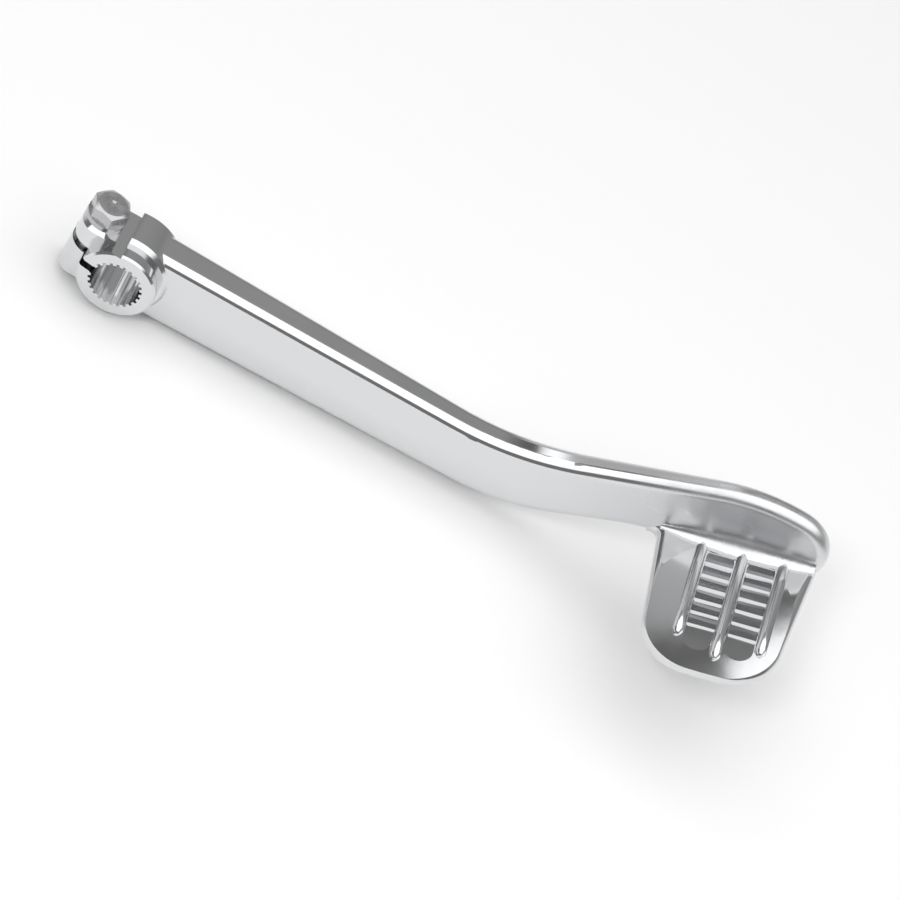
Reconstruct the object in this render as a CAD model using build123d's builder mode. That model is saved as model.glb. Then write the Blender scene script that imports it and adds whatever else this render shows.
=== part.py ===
import os
from math import asin, cos, degrees, pi, radians, sin, sqrt, tan

from build123d import *

os.makedirs("parts", exist_ok=True)

# Frame: the origin lies on the axis of the splined bore, a little behind the front face of the arm.
# +X runs along the straight root of the arm, +Z points up along the pinch bolt,
# and the tread stands out toward -Y, the side that faces away from the engine.

# Splined bore
bore_tip_radius = 7.25
spline_depth = 0.7
spline_count = 24
spline_gap_share = 0.5
spline_gap = 2 * pi * bore_tip_radius / spline_count * spline_gap_share
bore_root_radius = bore_tip_radius + spline_depth

# Hub: a round body with a slimmer collar on the outer side
hub_radius = 13.9
hub_front = 5.3
hub_back = 8.0
collar_wall = 3.7
collar_height = 4.7
collar_radius = bore_root_radius + collar_wall
collar_front = hub_front + collar_height
hub_chamfer = 1.2
collar_chamfer = 0.6

# Pinch bolt and spring washer
bolt_radius = 3.0
bolt_length = 25.0
bolt_tip_chamfer = 0.7
head_across_flats = 10.0
head_height = 4.4
head_rim_drop = 3.2
head_rim_share = 0.86
head_turn = 47.0
head_dimple_radius = 1.3
head_dimple_depth = 0.5
bolt_clearance = 0.2
thread_clearance = 0.05
washer_clearance = 0.25
washer_outer_radius = 5.8
washer_thickness = 1.6
washer_split_width = 0.9
washer_split_angle = 20.0

# Clamp ears behind the bore, parted by a slit
bore_to_bolt_wall = 0.1
ear_end_wall = 2.6
bolt_hole_radius = bolt_radius + bolt_clearance
bolt_x = -(bore_root_radius + bore_to_bolt_wall + bolt_hole_radius)
bolt_y = (hub_back - hub_front) / 2
ear_end_x = bolt_x - bolt_hole_radius - ear_end_wall
ear_top = 10.3
ear_bottom = -11.0
ear_corner_radius = 5.0
seat_wall_x = -2.4
slit_width = 2.4
slit_tilt = 8.0
slit_length = -ear_end_x + 2.0
slit_middle_x = ear_end_x / 2 - 2.0
ear_blend_radius = 3.0

# Arm: its side view bends upward, its top view tapers toward the tread
arm_back_drop = 0.2
arm_end_thickness = 6.6
arm_front = 4.4
arm_root_thickness = arm_front + hub_back - arm_back_drop
arm_edge_radius = 3.0
arm_top = 11.8
arm_top_rise = 0.1
arm_bottom = -12.2
arm_bottom_rise = 3.2
bend_x = 122.0
rise_angle = 28.2
top_bend_radius = 80.0
crest_rise = 12.2
crest_share = 0.93
nose_overhang = 1.7
nose_radius = 13.0
low_bend_shift = 5.0
low_rise_angle = 30.5
low_bend_radius = 62.0
low_meet_radius = 40.0

# Tread: a plate that leaves the lower edge of the arm, with ribs and cross ridges
tread_tilt = 20.0
tread_shift = 44.2
tread_lift = 5.6
tread_x = bend_x + tread_shift
tread_z = arm_top + tread_lift
tread_width = 46.0
tread_reach = 52.4
tread_thickness = 4.4
tread_taper = 4.5
tread_corner_radius = 15.5
tread_flare = 3.4
tread_edge_radius = 2.4
tread_lower_chamfer = 0.9

# The dish is a shallow hollow, curved more across the tread than along it, from the foot of the arm outward
dish_depth = 1.8
dish_root_gap = 0.2
dish_half_length = 33.0
dish_half_width = 22.8
dish_middle_y = -arm_front - dish_root_gap - dish_half_length
dish_long_radius = (dish_half_length**2 + dish_depth**2) / (2 * dish_depth)
dish_cross_radius = (dish_half_width**2 + dish_depth**2) / (2 * dish_depth)
dish_ring_radius = dish_long_radius - dish_cross_radius

# The cove swells from the left end of the tread toward its middle
cove_inset = 0.5
cove_root_depth = 1.6
cove_radius_left = 0.9
cove_radius_middle = 5.0
cove_radius_right = 2.6
cove_swell_share = 0.58
cove_stations = (
    (cove_inset, cove_radius_left),
    (tread_width * cove_swell_share, cove_radius_middle),
    (tread_width - cove_inset, cove_radius_right),
)

# Three round-topped ribs with cross ridges in the two slots between them
rib_pitch = 11.8
rib_first = 13.4
rib_width = 3.2
rib_height = 1.8
rib_start = 7.0
rib_lengths = (34.0, 39.0, 34.0)
rib_radius = rib_width / 2
rib_depth = 2.2
rib_end_length = 1.5
rib_tip_radius = 0.7
ridge_count = 6
ridge_pitch = 4.8
ridge_start = 9.4
ridge_width = 2.0
ridge_height = 0.5
ridge_slope = 14.0
pocket_depth = 2.9
pocket_start = 7.0
pocket_length = 37.5
pocket_margin = 0.3

tread_cos = cos(radians(tread_tilt))
tread_sin = sin(radians(tread_tilt))
tread_plane = Plane(
    origin=(tread_x, 0, tread_z),
    x_dir=(tread_cos, 0, tread_sin),
    z_dir=(-tread_sin, 0, tread_cos),
)

dish_middle = Vector(tread_width / 2, dish_middle_y, dish_long_radius - dish_depth)
dish_plane = Plane(
    origin=tread_plane.from_local_coords(dish_middle),
    x_dir=(0, 1, 0),
    z_dir=(tread_cos, 0, tread_sin),
)

under_x = tread_x + tread_thickness * tread_sin
under_z = tread_z - tread_thickness * tread_cos
nose_x = tread_x + tread_width * tread_cos
nose_z = tread_z + tread_width * tread_sin

# Corners of the arm's side view, before they are rounded
crest_z = nose_z + crest_rise
top_bend = (bend_x, arm_top + arm_top_rise)
top_crest = (bend_x + (crest_z - top_bend[1]) / tan(radians(rise_angle)), crest_z)
top_nose = (nose_x + nose_overhang, crest_z)
plan_end_x = top_nose[0] + 1.0
crest_radius = crest_share * (top_nose[0] - top_crest[0] - nose_radius) / tan(radians(rise_angle / 2))
under_nose = (nose_x + nose_overhang, under_z + (nose_x + nose_overhang - under_x) * tan(radians(tread_tilt)))
low_bend = (bend_x + low_bend_shift, arm_bottom + arm_bottom_rise)
low_slope = tan(radians(low_rise_angle))
tread_slope = tan(radians(tread_tilt))
low_gap_z = low_bend[1] - under_z
low_meet_x = (low_gap_z + under_x * tread_slope - low_bend[0] * low_slope) / (tread_slope - low_slope)
low_meet = (low_meet_x, low_bend[1] + (low_meet_x - low_bend[0]) * low_slope)

# Arm blank, cut from its side view and its top view
with BuildPart() as arm_blank:
    with BuildSketch(Plane.XZ) as arm_side:
        with BuildLine() as arm_side_line:
            Polyline(
                (0, arm_top),
                top_bend,
                top_crest,
                top_nose,
                under_nose,
                low_meet,
                low_bend,
                (0, arm_bottom),
                close=True,
            )
        make_face()
        fillet(arm_side.vertices().sort_by_distance(top_bend)[0], top_bend_radius)
        fillet(arm_side.vertices().sort_by_distance(top_crest)[0], crest_radius)
        fillet(arm_side.vertices().sort_by_distance(top_nose)[0], nose_radius)
        fillet(arm_side.vertices().sort_by_distance(low_bend)[0], low_bend_radius)
        fillet(arm_side.vertices().sort_by_distance(low_meet)[0], low_meet_radius)
    extrude(amount=2 * arm_root_thickness, both=True)
    with BuildSketch(Plane.XY) as arm_plan:
        with BuildLine() as arm_plan_line:
            Polyline(
                (0, -arm_front),
                (0, arm_root_thickness - arm_front),
                (plan_end_x, arm_end_thickness - arm_front),
                (plan_end_x, -arm_front),
                close=True,
            )
        make_face()
    extrude(amount=2 * plan_end_x, both=True, mode=Mode.INTERSECT)
    side_edges = arm_blank.edges().filter_by(lambda e: abs(e.center().Y) > 1.0 and e.center().X > 1.0)
    fillet(side_edges, arm_edge_radius)

# Tread plate with its pockets, ribs and ridges
with BuildPart() as tread_blank:
    with BuildSketch(tread_plane) as tread_outline:
        with BuildLine() as tread_line:
            Polyline(
                (-tread_flare, 0),
                (-tread_flare, -arm_front),
                (0, -arm_front),
                (tread_taper, -tread_reach),
                (tread_width - tread_taper, -tread_reach),
                (tread_width, -arm_front),
                (tread_width, 0),
                close=True,
            )
        make_face()
        fillet(tread_outline.vertices().group_by(Axis.Y)[0], tread_corner_radius)
        fillet(tread_outline.vertices().sort_by_distance((0, -arm_front))[0], tread_flare * 0.9)
    extrude(amount=-tread_thickness)
    outer_edges = tread_blank.edges().filter_by(lambda e: e.center().Y < -arm_front - tread_flare)
    upper_edges = outer_edges.filter_by(lambda e: abs(tread_plane.to_local_coords(e.center()).Z) < 0.01)
    lower_edges = outer_edges.filter_by(
        lambda e: abs(tread_plane.to_local_coords(e.center()).Z + tread_thickness) < 0.01
    )
    fillet(upper_edges, tread_edge_radius)
    chamfer(lower_edges, tread_lower_chamfer)
    with Locations(dish_plane):
        Torus(dish_ring_radius, dish_cross_radius, mode=Mode.SUBTRACT)

# Cove that carries the front of the arm into the tread
cove_plane = Plane(
    origin=(tread_x, 0, tread_z),
    x_dir=(0, 1, 0),
    z_dir=(tread_cos, 0, tread_sin),
)
with BuildPart() as cove_blank:
    for cove_along, cove_radius in cove_stations:
        with BuildSketch(cove_plane.offset(cove_along)) as cove_profile:
            with BuildLine() as cove_line:
                CenterArc((-arm_front - cove_radius, cove_radius), cove_radius, -90, 90)
                Polyline(
                    (-arm_front - cove_radius, 0),
                    (-arm_front - cove_radius, -cove_root_depth),
                    (0, -cove_root_depth),
                    (0, cove_radius),
                    (-arm_front, cove_radius),
                )
            make_face()
    loft()

# Ribs: a round-topped section turned about the axis of the dish, tapered off at both ends
dish_axis = Axis(dish_plane.origin, dish_plane.z_dir)


def rib_place(across, along, drop, facing):
    swing = asin((along - dish_middle_y) / drop)
    outward = Vector(tread_sin * cos(swing), sin(swing), -tread_cos * cos(swing))
    foot = dish_plane.origin + dish_plane.z_dir * (across - tread_width / 2) + outward * drop
    onward = outward.cross(dish_plane.z_dir)
    return Plane(foot, x_dir=dish_plane.z_dir * facing, z_dir=onward * facing), swing


with BuildPart() as rib_blank:
    for number in range(len(rib_lengths)):
        rib_x = rib_first + rib_pitch * number
        dish_drop = dish_ring_radius + sqrt(dish_cross_radius**2 - (rib_x - tread_width / 2) ** 2)
        rib_drop = dish_drop + rib_radius - rib_height
        inner_y = -rib_start - rib_end_length
        outer_y = -rib_start - rib_lengths[number] + rib_end_length
        inner_place, inner_swing = rib_place(rib_x, inner_y, rib_drop, -1)
        outer_place, outer_swing = rib_place(rib_x, outer_y, rib_drop, 1)
        with BuildSketch(outer_place) as rib_section:
            with BuildLine() as rib_section_line:
                CenterArc((0, 0), rib_radius, 0, 180)
                Polyline(
                    (-rib_radius, 0),
                    (-rib_radius, -rib_depth),
                    (rib_radius, -rib_depth),
                    (rib_radius, 0),
                )
            make_face()
        revolve(axis=dish_axis, revolution_arc=degrees(inner_swing - outer_swing))
        with Locations(inner_place, outer_place):
            Cone(rib_radius, rib_tip_radius, rib_end_length, align=(Align.CENTER, Align.CENTER, Align.MIN))

# Cross ridges, a little higher than the dish
with BuildPart() as ridge_blank:
    with BuildSketch(tread_plane.offset(-pocket_depth)) as ridge_outline:
        for column in range(2):
            for row in range(ridge_count):
                ridge_y = -ridge_start - row * ridge_pitch
                with Locations((rib_first + rib_pitch * (column + 0.5), ridge_y)):
                    Rectangle(rib_pitch - rib_width, ridge_width)
    extrude(amount=pocket_depth, taper=ridge_slope)
    with Locations(dish_plane):
        Torus(dish_ring_radius, dish_cross_radius - ridge_height, mode=Mode.SUBTRACT)

# Lever: hub, ears, arm and tread in one casting
with BuildPart() as lever:
    with BuildSketch(Plane.XZ.offset(-hub_back)) as hub_profile:
        Circle(hub_radius)
        with Locations((ear_end_x / 2, (ear_top + ear_bottom) / 2)):
            Rectangle(-ear_end_x, ear_top - ear_bottom)
        lower_meeting = hub_profile.vertices().filter_by(lambda v: v.Y < 0 and ear_end_x + 1 < v.X < -1)
        fillet(lower_meeting, ear_blend_radius)
    extrude(amount=hub_back + hub_front)
    fillet(lever.edges().filter_by(Axis.Z).group_by(Axis.X)[0], ear_corner_radius)
    hub_faces = lever.faces().filter_by(Axis.Y).sort_by(Axis.Y)
    chamfer(hub_faces[0].edges() + hub_faces[-1].edges(), hub_chamfer)
    with BuildSketch(Plane.XZ.offset(hub_front - hub_chamfer)) as collar_profile:
        Circle(collar_radius)
    extrude(amount=collar_height + hub_chamfer)
    chamfer(lever.faces().filter_by(Axis.Y).sort_by(Axis.Y)[0].edges(), collar_chamfer)
    add(arm_blank.part)
    add(tread_blank.part)
    add(cove_blank.part)

    # Pockets between the ribs, with the cross ridges left standing in them
    with BuildSketch(tread_plane) as pocket_outline:
        for column in range(2):
            with Locations((rib_first + rib_pitch * (column + 0.5), -pocket_start - pocket_length / 2)):
                SlotOverall(pocket_length, rib_pitch - rib_width - 2 * pocket_margin, rotation=90)
    extrude(amount=-pocket_depth, mode=Mode.SUBTRACT)
    add(ridge_blank.part)
    add(rib_blank.part)

    # Splined bore, slit, bolt seat and bolt holes
    with BuildSketch(Plane.XZ.offset(-hub_back)) as bore_profile:
        Circle(bore_tip_radius)
        with PolarLocations(bore_tip_radius, spline_count):
            Rectangle(2 * spline_depth, spline_gap)
    extrude(amount=hub_back + collar_front, mode=Mode.SUBTRACT)
    with BuildSketch(Plane.XZ.offset(-hub_back)) as slit_profile:
        with Locations((slit_middle_x, -slit_middle_x * tan(radians(slit_tilt)))):
            Rectangle(slit_length, slit_width, rotation=-slit_tilt)
    extrude(amount=hub_back + collar_front, mode=Mode.SUBTRACT)
    with BuildSketch(Plane.XY.offset(ear_top)) as seat_profile:
        with Locations((seat_wall_x - hub_radius, 0)):
            Rectangle(2 * hub_radius, 6 * hub_radius)
    extrude(amount=hub_radius, mode=Mode.SUBTRACT)
    with BuildSketch(Plane.XY.offset(ear_top)) as bolt_way:
        with Locations((bolt_x, bolt_y)):
            Circle(bolt_hole_radius)
    extrude(amount=-ear_top, mode=Mode.SUBTRACT)
    with BuildSketch(Plane.XY) as thread_way:
        with Locations((bolt_x, bolt_y)):
            Circle(bolt_radius + thread_clearance)
    extrude(amount=ear_bottom - 1.0, mode=Mode.SUBTRACT)

# Hexagon bolt: a chamfered head with a dimple, and a plain shank
head_seat = ear_top + washer_thickness
with BuildPart() as clamp_bolt:
    with BuildSketch(Plane.XY.offset(head_seat)) as head_outline:
        with Locations((bolt_x, bolt_y)):
            RegularPolygon(head_across_flats / 2, 6, major_radius=False, rotation=head_turn)
    extrude(amount=head_height)
    with BuildSketch(Plane.XZ.offset(-bolt_y)) as head_turning:
        with BuildLine() as head_turning_line:
            Polyline(
                (bolt_x, head_seat),
                (bolt_x + head_across_flats, head_seat),
                (bolt_x + head_across_flats, head_seat + head_height - head_rim_drop),
                (bolt_x + head_across_flats / 2 * head_rim_share, head_seat + head_height),
                (bolt_x, head_seat + head_height),
                close=True,
            )
        make_face()
    revolve(axis=Axis((bolt_x, bolt_y, 0), (0, 0, 1)), mode=Mode.INTERSECT)
    with BuildSketch(Plane.XY.offset(head_seat + head_height)) as dimple:
        with Locations((bolt_x, bolt_y)):
            Circle(head_dimple_radius)
    extrude(amount=-head_dimple_depth, taper=45, mode=Mode.SUBTRACT)
    with BuildSketch(Plane.XY.offset(head_seat)) as shank:
        with Locations((bolt_x, bolt_y)):
            Circle(bolt_radius)
    extrude(amount=-bolt_length)
    chamfer(clamp_bolt.faces().sort_by(Axis.Z)[0].edges(), bolt_tip_chamfer)

# Spring washer: a ring with a slanted split
with BuildPart() as spring_washer:
    with BuildSketch(Plane.XY.offset(ear_top)) as ring:
        with Locations((bolt_x, bolt_y)):
            Circle(washer_outer_radius)
            Circle(bolt_radius + washer_clearance, mode=Mode.SUBTRACT)
    extrude(amount=washer_thickness)
    split_plane = Plane(
        origin=(bolt_x, bolt_y, ear_top + washer_thickness / 2),
        x_dir=(0, 1, 0),
        z_dir=(-1, 0, 0),
    )
    with BuildSketch(split_plane) as split:
        Rectangle(washer_split_width, 4 * washer_thickness, rotation=washer_split_angle)
    extrude(amount=2 * washer_outer_radius, mode=Mode.SUBTRACT)

lever.part.label = "lever"
clamp_bolt.part.label = "clamp_bolt"
spring_washer.part.label = "spring_washer"
export_step(lever.part, "parts/lever.step")
export_step(clamp_bolt.part, "parts/clamp_bolt.step")
export_step(spring_washer.part, "parts/spring_washer.step")
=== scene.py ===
import math

import bmesh
import bpy
from mathutils import Matrix, Vector


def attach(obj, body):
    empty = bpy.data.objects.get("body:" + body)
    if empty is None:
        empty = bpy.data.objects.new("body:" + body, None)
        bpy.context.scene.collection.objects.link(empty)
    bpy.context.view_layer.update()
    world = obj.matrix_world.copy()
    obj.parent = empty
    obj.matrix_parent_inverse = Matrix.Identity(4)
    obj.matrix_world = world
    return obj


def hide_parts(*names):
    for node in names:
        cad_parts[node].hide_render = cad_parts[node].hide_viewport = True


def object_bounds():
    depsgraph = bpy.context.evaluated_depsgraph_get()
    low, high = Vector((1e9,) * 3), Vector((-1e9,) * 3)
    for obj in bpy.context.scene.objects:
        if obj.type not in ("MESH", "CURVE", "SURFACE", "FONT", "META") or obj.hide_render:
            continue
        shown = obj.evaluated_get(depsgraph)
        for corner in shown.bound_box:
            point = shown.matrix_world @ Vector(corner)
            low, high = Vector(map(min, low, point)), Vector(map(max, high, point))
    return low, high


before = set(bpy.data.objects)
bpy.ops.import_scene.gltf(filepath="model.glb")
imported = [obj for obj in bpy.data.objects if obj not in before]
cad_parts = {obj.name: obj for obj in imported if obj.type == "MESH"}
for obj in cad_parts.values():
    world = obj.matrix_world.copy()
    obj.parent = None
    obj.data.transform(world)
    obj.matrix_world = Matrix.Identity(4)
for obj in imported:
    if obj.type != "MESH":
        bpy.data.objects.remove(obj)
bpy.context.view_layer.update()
print("frame loaded:", ", ".join(sorted(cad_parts)))


# Materials

noiseSpan = (0.3, 0.7)  # the part of a noise's range that holds most of its values

chromePlate = {
    "colour": (0.71, 0.715, 0.725, 1.0),
    "roughLow": 0.09,
    "roughHigh": 0.16,
    "clouding": 45.0,      # size of the faint buffing clouds
    "cloudDetail": 4.0,
    "waveScale": 26.0,     # long waves that hand polishing leaves on the casting
    "waveDetail": 1.0,
    "waveDepth": 0.00012,
    "dullRough": 0.36,     # the buffing wheel doesn't reach the corner over the tread
    "dullPlace": (0.188, -0.003, 0.035),
    "dullReach": (0.042, 0.006, 0.0145),
    "dullTurn": -20.0,
    "dullGrain": 140.0,
    "dullDetail": 3.0,
    "dullFull": 0.2,       # fade times grain at which the corner is fully dull
}


def addNode(tree, kind, place, **inputs):
    node = tree.nodes.new(kind)
    node.location = place
    for name, value in inputs.items():
        node.inputs[name].default_value = value
    return node


def startMaterial(name, look):
    material = bpy.data.materials.new(name)
    material.use_nodes = True
    tree = material.node_tree
    shader = tree.nodes["Principled BSDF"]
    shader.inputs["Base Color"].default_value = look["colour"]
    shader.inputs["Metallic"].default_value = 1.0
    coords = addNode(tree, "ShaderNodeTexCoord", (-1100, 0))
    return material, tree, shader, coords


def addNoise(tree, coords, place, scale, detail):
    noise = addNode(tree, "ShaderNodeTexNoise", place, Scale=scale, Detail=detail)
    tree.links.new(coords.outputs["Object"], noise.inputs["Vector"])
    return noise


def spreadRoughness(tree, noise, look):
    spread = addNode(tree, "ShaderNodeMapRange", (-600, 0))
    spread.inputs["From Min"].default_value, spread.inputs["From Max"].default_value = noiseSpan
    spread.inputs["To Min"].default_value = look["roughLow"]
    spread.inputs["To Max"].default_value = look["roughHigh"]
    tree.links.new(noise.outputs["Fac"], spread.inputs["Value"])
    return spread


def makeChrome():
    look = chromePlate
    material, tree, shader, coords = startMaterial("chromePlate", look)
    clouds = addNoise(tree, coords, (-850, 0), look["clouding"], look["cloudDetail"])
    spread = spreadRoughness(tree, clouds, look)

    corner = addNode(tree, "ShaderNodeMapping", (-850, 350))
    corner.vector_type = "TEXTURE"
    corner.inputs["Location"].default_value = look["dullPlace"]
    corner.inputs["Rotation"].default_value = (0.0, math.radians(look["dullTurn"]), 0.0)
    corner.inputs["Scale"].default_value = look["dullReach"]
    fade = addNode(tree, "ShaderNodeTexGradient", (-650, 350))
    fade.gradient_type = "SPHERICAL"
    grain = addNoise(tree, coords, (-850, 650), look["dullGrain"], look["dullDetail"])
    patchy = addNode(tree, "ShaderNodeMath", (-450, 450))
    patchy.operation = "MULTIPLY"
    share = addNode(tree, "ShaderNodeMapRange", (-300, 350))
    share.inputs["From Max"].default_value = look["dullFull"]
    finish = addNode(tree, "ShaderNodeMix", (-120, 150), B=look["dullRough"])
    tree.links.new(coords.outputs["Object"], corner.inputs["Vector"])
    tree.links.new(corner.outputs["Vector"], fade.inputs["Vector"])
    tree.links.new(fade.outputs["Fac"], patchy.inputs[0])
    tree.links.new(grain.outputs["Fac"], patchy.inputs[1])
    tree.links.new(patchy.outputs["Value"], share.inputs["Value"])
    tree.links.new(share.outputs["Result"], finish.inputs["Factor"])
    tree.links.new(spread.outputs["Result"], finish.inputs["A"])
    tree.links.new(finish.outputs["Result"], shader.inputs["Roughness"])

    waves = addNoise(tree, coords, (-850, -350), look["waveScale"], look["waveDetail"])
    relief = addNode(tree, "ShaderNodeBump", (-600, -350), Strength=1.0, Distance=look["waveDepth"])
    tree.links.new(waves.outputs["Fac"], relief.inputs["Height"])
    tree.links.new(relief.outputs["Normal"], shader.inputs["Normal"])
    return material


zincSteel = {
    "colour": (0.50, 0.50, 0.51, 1.0),
    "roughLow": 0.22,
    "roughHigh": 0.36,
    "grain": 420.0,
    "grainDetail": 5.0,
}


def makeZinc():
    material, tree, shader, coords = startMaterial("zincSteel", zincSteel)
    grain = addNoise(tree, coords, (-850, 0), zincSteel["grain"], zincSteel["grainDetail"])
    spread = spreadRoughness(tree, grain, zincSteel)
    tree.links.new(spread.outputs["Result"], shader.inputs["Roughness"])
    return material


chrome = makeChrome()
zinc = makeZinc()
print("materials made")


# Lever: a merged copy of the solid that keeps the CAD surfaces' own directions

leverSkin = {
    "mergeGap": 0.000003,
    "ribEnds": (
        (0.179, -0.041, 0.021), (0.190, -0.046, 0.025), (0.201, -0.041, 0.030),
        (0.179, -0.007, 0.023), (0.190, -0.007, 0.027), (0.201, -0.007, 0.031),
    ),
    "roundReach": 0.0035,  # this near a rib's end, buffing has rounded the cone
    "roundAngle": 62.0,
}


def roundEnds(form, turned, look):
    ends = [Vector(end) for end in look["ribEnds"]]
    limit = math.radians(look["roundAngle"])
    softened = []
    for vert in form.verts:
        if min((vert.co - end).length for end in ends) > look["roundReach"]:
            continue
        directions = [loop[turned] for loop in vert.link_loops]
        for loop in vert.link_loops:
            near = [other for other in directions if other.angle(loop[turned], 0.0) < limit]
            softened.append((loop, sum(near, Vector()).normalized()))
    for loop, direction in softened:
        loop[turned] = direction


def smoothCopy(nodeName, pieceName, look, material):
    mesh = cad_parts[nodeName].data.copy()
    turned = mesh.attributes.new("turned", "FLOAT_VECTOR", "CORNER")  # each corner's CAD direction
    for corner, direction in zip(turned.data, mesh.corner_normals):
        corner.vector = direction.vector
    form = bmesh.new()
    form.from_mesh(mesh)
    bmesh.ops.remove_doubles(form, verts=form.verts, dist=look["mergeGap"])
    bmesh.ops.dissolve_degenerate(form, edges=form.edges, dist=look["mergeGap"])
    if "ribEnds" in look:
        roundEnds(form, form.loops.layers.float_vector["turned"], look)
    for edge in form.edges:
        edge.smooth = True
    for face in form.faces:
        face.smooth = True
    form.to_mesh(mesh)
    form.free()
    mesh.normals_split_custom_set([corner.vector for corner in mesh.attributes["turned"].data])
    mesh.attributes.remove(mesh.attributes["turned"])
    mesh.materials.clear()
    mesh.materials.append(material)
    piece = bpy.data.objects.new(pieceName, mesh)
    bpy.context.scene.collection.objects.link(piece)
    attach(piece, "root")
    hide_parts(nodeName)
    print(pieceName, "has", len(mesh.polygons), "faces")
    return piece


lever = smoothCopy("lever", "kickLever", leverSkin, chrome)


# Pinch bolt and its spring washer: plated steel with crisp edges

fastenerSkin = {
    "mergeGap": 0.000003,
}

bolt = smoothCopy("clamp_bolt", "pinchBolt", fastenerSkin, zinc)
washer = smoothCopy("spring_washer", "lockWasher", fastenerSkin, zinc)


# Studio: pale floor, grey room and three lamps

studio = {
    "floorSize": 3.0,
    "floorMiddle": (0.1, 0.0),
    "floorColour": (0.88, 0.88, 0.88, 1.0),
    "floorRough": 0.9,
    "floorGloss": 0.1,
    "frontGrey": 0.20,
    "rightGreys": (  # height in the room and grey there, on the back wall's right half
        (0.14, 0.85), (0.22, 0.36), (0.44, 0.27), (0.60, 0.30),
        (0.711, 0.32), (0.80, 0.42), (0.88, 0.60),
    ),
    "leftGreys": (  # the same on its left half
        (0.14, 0.85), (0.30, 0.60), (0.56, 0.50), (0.655, 0.10),
        (0.695, 0.10), (0.725, 0.45), (0.80, 0.50),
    ),
    "turn": (-0.15, 0.25),   # where the front of the room passes into the back
    "side": (-0.13, -0.07),  # where the back wall's left half passes into its right half
}


def makeFloor():
    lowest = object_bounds()[0].z
    form = bmesh.new()
    bmesh.ops.create_grid(form, x_segments=1, y_segments=1, size=studio["floorSize"])
    bmesh.ops.translate(form, verts=form.verts, vec=(*studio["floorMiddle"], lowest))
    mesh = bpy.data.meshes.new("floor")
    form.to_mesh(mesh)
    form.free()
    floor = bpy.data.objects.new("floor", mesh)
    bpy.context.scene.collection.objects.link(floor)
    material = bpy.data.materials.new("paleFloor")
    material.use_nodes = True
    shader = material.node_tree.nodes["Principled BSDF"]
    shader.inputs["Base Color"].default_value = studio["floorColour"]
    shader.inputs["Roughness"].default_value = studio["floorRough"]
    shader.inputs["Specular IOR Level"].default_value = studio["floorGloss"]
    mesh.materials.append(material)


def makeRoom():
    world = bpy.data.worlds.new("greyRoom")
    world.use_nodes = True
    bpy.context.scene.world = world
    tree = world.node_tree
    front = studio["frontGrey"]
    coords = addNode(tree, "ShaderNodeTexCoord", (-1100, 0))
    parts = addNode(tree, "ShaderNodeSeparateXYZ", (-900, 0))
    tree.links.new(coords.outputs["Generated"], parts.inputs[0])
    wall = addNode(tree, "ShaderNodeMix", (-350, -250))
    room = addNode(tree, "ShaderNodeMix", (-150, 0))
    room.data_type = wall.data_type = "RGBA"
    for greys, socket, place in (("leftGreys", "A", (-650, -150)), ("rightGreys", "B", (-650, -450))):
        ramp = addNode(tree, "ShaderNodeValToRGB", place)
        stops = ramp.color_ramp.elements
        for height, _ in studio[greys][1:-1]:
            stops.new(height)
        for stop, (height, grey) in zip(stops, studio[greys]):
            stop.position = height
            stop.color = (grey, grey, grey, 1.0)
        tree.links.new(parts.outputs["Z"], ramp.inputs[0])
        tree.links.new(ramp.outputs["Color"], wall.inputs[socket])
    for span, axis, mixer, place in (("side", "X", wall, (-650, 150)), ("turn", "Y", room, (-650, 400))):
        ease = addNode(tree, "ShaderNodeMapRange", place)
        ease.interpolation_type = "SMOOTHSTEP"
        ease.inputs["From Min"].default_value, ease.inputs["From Max"].default_value = studio[span]
        tree.links.new(parts.outputs[axis], ease.inputs["Value"])
        tree.links.new(ease.outputs["Result"], mixer.inputs["Factor"])
    room.inputs["A"].default_value = (front, front, front, 1.0)
    tree.links.new(wall.outputs["Result"], room.inputs["B"])
    tree.links.new(room.outputs["Result"], tree.nodes["Background"].inputs["Color"])


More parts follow.
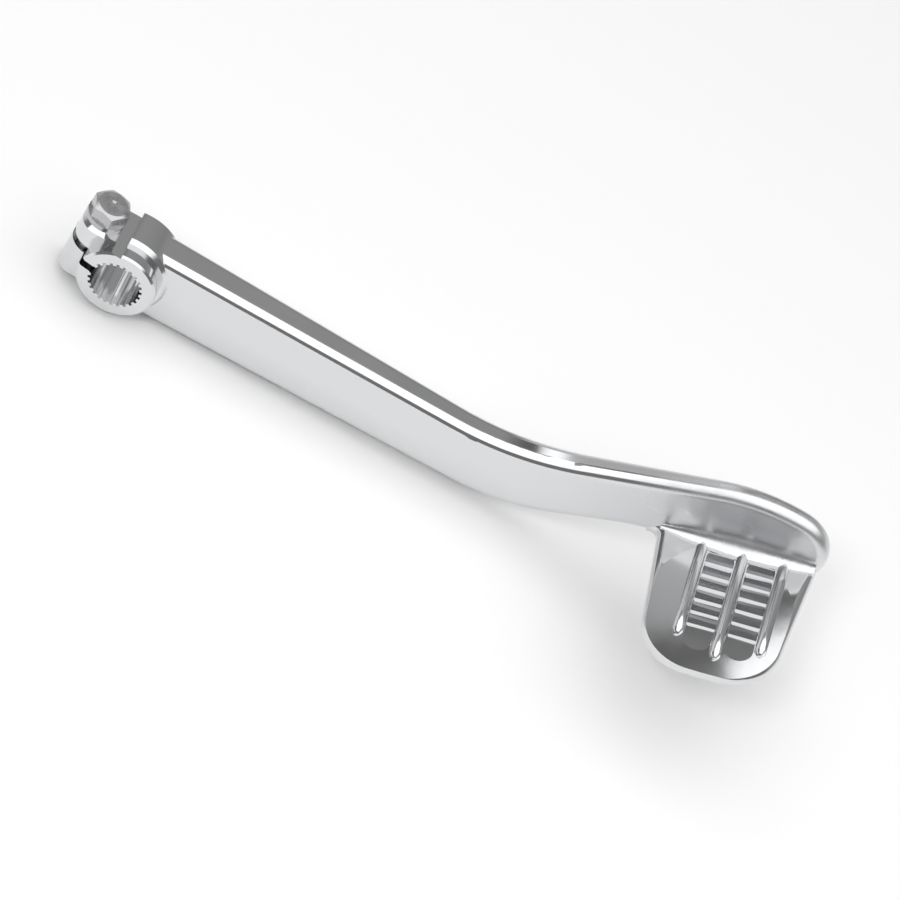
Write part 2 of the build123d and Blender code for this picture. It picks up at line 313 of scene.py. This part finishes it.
lamps = {
    "ceiling": {
        "place": (0.40, -0.55, 1.60),
        "aim": (0.40, -0.55, 0.0),
        "wide": 3.6,
        "deep": 2.9,
        "watts": 42.0,
        "mirrored": True,
    },
    "card": {  # seen in the tread as its bright crescent
        "place": (-0.35, 0.915, 0.88),
        "aim": (0.185, -0.05, 0.02),
        "wide": 0.23,
        "deep": 0.122,
        "watts": 0.12,
        "mirrored": True,
    },
    "key": {  # lights the floor, but isn't seen in the chrome
        "place": (-0.53, -1.16, 1.37),
        "aim": (0.10, 0.0, 0.0),
        "wide": 0.35,
        "deep": 0.35,
        "watts": 8.0,
        "mirrored": False,
    },
}


def makeLamp(name):
    choice = lamps[name]
    light = bpy.data.lights.new(name, "AREA")
    light.shape = "RECTANGLE"
    light.size = choice["wide"]
    light.size_y = choice["deep"]
    light.energy = choice["watts"]
    lamp = bpy.data.objects.new(name, light)
    lamp.location = choice["place"]
    facing = Vector(choice["aim"]) - Vector(choice["place"])
    lamp.rotation_euler = facing.to_track_quat("-Z", "Y").to_euler()
    lamp.visible_camera = False
    lamp.visible_glossy = choice["mirrored"]
    bpy.context.scene.collection.objects.link(lamp)


makeFloor()
makeRoom()
for lampName in lamps:
    makeLamp(lampName)
print("studio lit")


# Camera: the photograph's own view

viewpoint = {
    "aim": (0.1025, -0.0168, 0.0152),
    "distance": 1.0,
    "azimuth": -12.4,
    "elevation": 45.3,
    "roll": 38.2,
    "lens": 144.0,
    "sensor": 36.0,
    "clip": (0.01, 50.0),
}


def makeCamera():
    azimuth = math.radians(viewpoint["azimuth"])
    elevation = math.radians(viewpoint["elevation"])
    back = Vector((
        math.sin(azimuth) * math.cos(elevation),
        -math.cos(azimuth) * math.cos(elevation),
        math.sin(elevation),
    ))
    data = bpy.data.cameras.new("photoView")
    data.sensor_width = viewpoint["sensor"]
    data.lens = viewpoint["lens"]
    data.clip_start, data.clip_end = viewpoint["clip"]
    camera = bpy.data.objects.new("photoView", data)
    level = (-back).to_track_quat("-Z", "Y").to_matrix()
    turned = level @ Matrix.Rotation(math.radians(viewpoint["roll"]), 3, "Z")
    camera.location = Vector(viewpoint["aim"]) + back * viewpoint["distance"]
    camera.rotation_euler = turned.to_euler()
    bpy.context.scene.collection.objects.link(camera)
    bpy.context.scene.camera = camera
    bpy.context.view_layer.update()


makeCamera()
bpy.context.scene.view_settings.view_transform = "Standard"
print("camera set")
